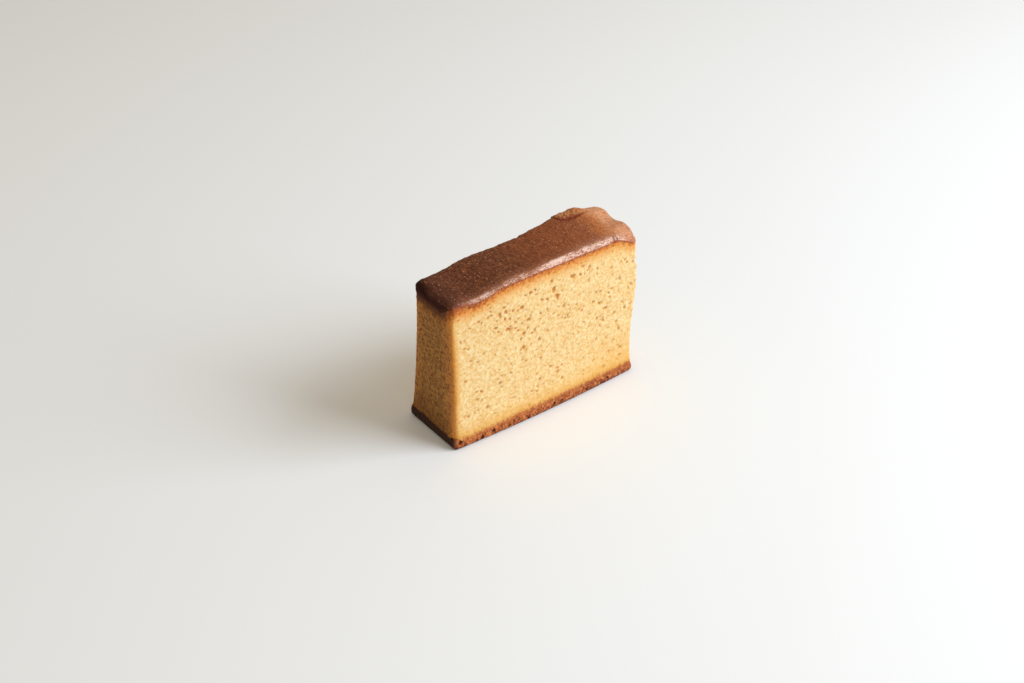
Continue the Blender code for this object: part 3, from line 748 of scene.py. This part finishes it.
def bakedSkin():
    # browned sugar skin of a baked sponge: satin, dark and finely grained, lighter at the right end partly as
    # painted light
    material, tree, shader, place = newMaterial("bakedSugarSkin")
    spot = addNode(tree, "ShaderNodeSeparateXYZ", {0: place})
    patch = addNode(tree, "ShaderNodeTexNoise",
                    {"Vector": place, "Scale": 1 / 8.0, "Detail": 5.0, "Roughness": 0.65})
    along = addNode(tree, "ShaderNodeMath", {0: patch, 1: 14.0, 2: spot}, operation="MULTIPLY_ADD")
    along = addNode(tree, "ShaderNodeMapRange", {"Value": along, "From Min": -38.0, "From Max": 52.0})
    tone = addNode(tree, "ShaderNodeValToRGB", {0: along}, stops=skinTonesAndLight)
    # grain of the skin, drawn a little coarser than it is so that it shows
    grain = addNode(tree, "ShaderNodeTexNoise",
                    {"Vector": place, "Scale": 1 / 0.65, "Detail": 4.0, "Roughness": 0.7})
    blotch = addNode(tree, "ShaderNodeTexNoise",
                     {"Vector": place, "Scale": 1 / 2.2, "Detail": 4.0, "Roughness": 0.7})
    pucker = addNode(tree, "ShaderNodeVectorMath", {0: place, 1: (1 / 0.6, 1 / 2.6, 1 / 2.6)},
                     operation="MULTIPLY")
    pucker = addNode(tree, "ShaderNodeTexNoise", {"Vector": pucker, "Scale": 1.0, "Detail": 3.0})
    # both ends are calmer, and the right one has a paler speckle
    calm = addNode(tree, "ShaderNodeMath", {0: spot}, operation="ABSOLUTE")
    calm = addNode(tree, "ShaderNodeMapRange",
                   {"Value": calm, "From Min": 31.0, "From Max": 41.0, "To Min": 1.0, "To Max": 0.45})
    rightEnd = addNode(tree, "ShaderNodeMapRange", {"Value": spot, "From Min": 33.0, "From Max": 39.0})
    for source, start, full, where, most, hexText in (
            (blotch, 0.5, 0.64, calm, 0.45, "4a2012"), (blotch, 0.46, 0.34, calm, 0.3, "a05834"),
            (grain, 0.52, 0.64, calm, 0.45, "b27248"), (grain, 0.48, 0.36, calm, 0.5, "40190e"),
            (pucker, 0.52, 0.64, calm, 0.3, "b06a44"),
            (grain, 0.51, 0.6, rightEnd, 0.55, "efc8a4"), (blotch, 0.53, 0.6, rightEnd, 0.5, "b8683c")):
        tone = tintBetween(tree, tone, source, start, full, most, hexText, where=where)
    # grains of sugar and crumb stuck to the skin
    lip = addNode(tree, "ShaderNodeAttribute", attribute_name="alongLip", out="Fac")
    nearLip = addNode(tree, "ShaderNodeMapRange",
                      {"Value": lip, "From Min": 9.0, "From Max": 3.0, "To Min": 0.4, "To Max": 0.7})
    specks = addNode(tree, "ShaderNodeTexVoronoi", {"Vector": place, "Scale": 1 / 1.3})
    draw = addNode(tree, "ShaderNodeSeparateColor", {0: specks.node.outputs["Color"]})
    here = addNode(tree, "ShaderNodeMath", {0: draw, 1: nearLip}, operation="LESS_THAN")
    speck = addNode(tree, "ShaderNodeMapRange", {"Value": specks, "From Min": 0.24, "From Max": 0.14})
    speck = addNode(tree, "ShaderNodeMath", {0: speck, 1: here}, operation="MULTIPLY")
    tone = tint(tree, tone, speck, 0.65, "cb9c76")
    # the rolled lip is tacky and a little paler than the skin; over it lies a painted highlight
    # in broken pinkish streaks, with darker gaps between them
    paintedShine = addNode(tree, "ShaderNodeAttribute", attribute_name="paintedShine", out="Fac")
    tone = tint(tree, tone, paintedShine, 0.75, "b97e5e")
    runs = addNode(tree, "ShaderNodeMath", {0: spot, 1: spot.node.outputs[1]}, operation="ADD")
    runs = addNode(tree, "ShaderNodeCombineXYZ", {0: runs, 1: lip})
    runs = addNode(tree, "ShaderNodeVectorMath", {0: runs, 1: (1 / 2.2, 1 / 0.6, 0)}, operation="MULTIPLY")
    runs = addNode(tree, "ShaderNodeTexNoise",
                   {"Vector": runs, "Scale": 1.0, "Detail": 3.0, "Roughness": 0.6})
    fine = addNode(tree, "ShaderNodeTexNoise",
                   {"Vector": place, "Scale": 1 / 0.55, "Detail": 3.0, "Roughness": 0.7})
    for source, size in ((fine, 1.3), (paintedShine, 0.4), (blotch, 0.8)):
        runs = addNode(tree, "ShaderNodeMath", {0: source, 1: size, 2: runs}, operation="MULTIPLY_ADD")
    tone = tintBetween(tree, tone, runs, 1.84, 1.56, 0.6, "8f4e34", where=paintedShine)
    tone = tintBetween(tree, tone, runs, 1.8, 2.12, 0.9, "ecccbc", where=paintedShine)
    # the crease tint is painted shade in the fold's crease, and darkens the bubble's ring too
    # the scorched knob and end: dark browning, and on the end partly painted shade
    for name, most, hexText in (("pale", 0.85, "c08552"), ("scorchAndEndShade", 0.88, "2a0d08"),
                                ("crease", 0.85, "6a2412")):
        share = addNode(tree, "ShaderNodeAttribute", attribute_name=name, out="Fac")
        tone = tint(tree, tone, share, most, hexText)
    # the lip's lower edge, reddish brown and broken
    aboveLine = addNode(tree, "ShaderNodeAttribute", attribute_name="aboveLine", out="Fac")
    ragged = addNode(tree, "ShaderNodeMath", {0: fine, 1: 1.4, 2: aboveLine}, operation="MULTIPLY_ADD")
    scorchAndEndShade = addNode(tree, "ShaderNodeAttribute", attribute_name="scorchAndEndShade", out="Fac")
    onFront = addNode(tree, "ShaderNodeMath", {0: 1.0, 1: scorchAndEndShade}, operation="SUBTRACT")
    for start, full, where, most, hexText in (
            (1.75, 1.05, onFront, 0.8, "9c442a"), (0.95, 0.6, onFront, 0.8, "c06a30"),
            (3.0, 1.6, scorchAndEndShade, 0.85, "4a220e")):
        tone = tintBetween(tree, tone, ragged, start, full, most, hexText, where=where)
    high = addNode(tree, "ShaderNodeMath", {0: grain, 1: 0.3}, operation="MULTIPLY")
    for source, size in ((speck, 0.12), (fine, 0.25)):
        high = addNode(tree, "ShaderNodeMath", {0: source, 1: size, 2: high}, operation="MULTIPLY_ADD")
    joinSurface(tree, shader, tone, high)
    gloss = addNode(tree, "ShaderNodeMapRange",
                    {"Value": lip, "From Min": 3.0, "From Max": 6.0, "To Min": 0.36, "To Max": 0.6})
    gloss = addNode(tree, "ShaderNodeMath", {0: scorchAndEndShade, 1: 0.4, 2: gloss}, operation="MULTIPLY_ADD",
                    use_clamp=True)
    tree.links.new(gloss, shader.inputs["Roughness"])
    shader.inputs["Specular IOR Level"].default_value = 0.12
    return material


def bakedBase():
    # browned base of the loaf, where it met the paper: dull, reddish brown and full of small pits
    material, tree, shader, place = newMaterial("bakedBaseCrust")
    spot = addNode(tree, "ShaderNodeSeparateXYZ", {0: place}).node
    shaken = unevenPlace(tree, place, ((1.2, 1.2),))
    tone = mottled(tree, place, 2.4, 0.75, 0.43, 0.57, "8a4324", "c87640")
    crumbs = addNode(tree, "ShaderNodeTexNoise",
                     {"Vector": shaken, "Scale": 1 / 1.1, "Detail": 4.0, "Roughness": 0.7})
    top = addNode(tree, "ShaderNodeAttribute", attribute_name="belowCrumb", out="Fac")
    top = addNode(tree, "ShaderNodeMath", {0: crumbs, 1: 1.2, 2: top}, operation="MULTIPLY_ADD")
    foot = addNode(tree, "ShaderNodeMath", {0: crumbs, 1: 1.4, 2: spot.outputs[2]}, operation="MULTIPLY_ADD")
    pore = addNode(tree, "ShaderNodeAttribute", attribute_name="pore", out="Fac")
    end = addNode(tree, "ShaderNodeAttribute", attribute_name="pastCorner", out="Fac")
    for source, start, full, most, hexText in (
            (spot.outputs[0], -18.0, 6.0, 0.45, "8a4626"),      # browner to the right
            (crumbs, 0.52, 0.62, 0.7, "dc9258"), (crumbs, 0.48, 0.4, 0.92, "642a16"),
            (top, 3.0, 0.9, 0.3, "c8763e"), (foot, 2.2, 1.1, 0.7, "4a2013"),
            # painted shade in the pits: the deeper, the darker
            (pore, 0.08, 0.45, 0.9, "451a0e"),
            (end, 1.6, -1.4, 0.97, "2e1a12")):                  # the end, dark and smooth
        tone = tintBetween(tree, tone, source, start, full, most, hexText)
    high = addNode(tree, "ShaderNodeMath", {0: crumbs, 1: 0.5}, operation="MULTIPLY")
    joinSurface(tree, shader, tone, high)
    shader.inputs["Roughness"].default_value = 0.8
    shader.inputs["Specular IOR Level"].default_value = 0.2
    return material


# Studio.

studio = dict(
    floorColour="f2f5f6", floorSize=6.0,
    windowDirection=(0.565, -0.59, 0.574), windowDistance=1.2, windowAim=(0, 0, 0.03),
    windowSize=0.8, windowPower=15.6, windowColour="ecf4ff", roomColour="fff1dc", roomStrength=0.5,
    cameraPlace=(-0.29037, -0.37096, 0.34376), cameraAim=(0.01716, 0.03138, 0.00068), lens=50.0,
)


def aimAt(thing, target):
    turn = (Vector(target) - thing.location).to_track_quat("-Z", "Y")
    thing.rotation_euler = turn.to_euler()


def makeStudio():
    s = studio
    bpy.ops.mesh.primitive_plane_add(size=s["floorSize"], location=(0, 0, 0))
    floor = bpy.context.active_object
    floor.name = "studioFloor"
    material, tree, shader, place = newMaterial("matPaintedFloor")
    shader.inputs["Base Color"].default_value = colour(s["floorColour"])
    shader.inputs["Roughness"].default_value = 0.7
    shader.inputs["Specular IOR Level"].default_value = 0.2
    floor.data.materials.append(material)
    lamp = bpy.data.lights.new("windowLight", "AREA")
    lamp.shape = "SQUARE"
    lamp.size = s["windowSize"]
    lamp.energy = s["windowPower"]
    lamp.color = colour(s["windowColour"])[:3]
    window = bpy.data.objects.new("windowLight", lamp)
    bpy.context.collection.objects.link(window)
    window.location = Vector(s["windowDirection"]) * s["windowDistance"]
    aimAt(window, s["windowAim"])
    world = bpy.data.worlds.new("paleRoom")
    world.use_nodes = True
    sky = world.node_tree.nodes["Background"]
    sky.inputs["Color"].default_value = colour(s["roomColour"])
    sky.inputs["Strength"].default_value = s["roomStrength"]
    bpy.context.scene.world = world
    lens = bpy.data.cameras.new("camera")
    lens.lens = s["lens"]
    lens.sensor_width = 36.0
    camera = bpy.data.objects.new("camera", lens)
    bpy.context.collection.objects.link(camera)
    camera.location = s["cameraPlace"]
    aimAt(camera, s["cameraAim"])
    bpy.context.scene.camera = camera
    bpy.context.scene.view_settings.view_transform = "Standard"


makeStudio()
print("studio set")
makeCrumb(spongeCrumb())
makeSkin(bakedSkin())
makeBase(bakedBase())
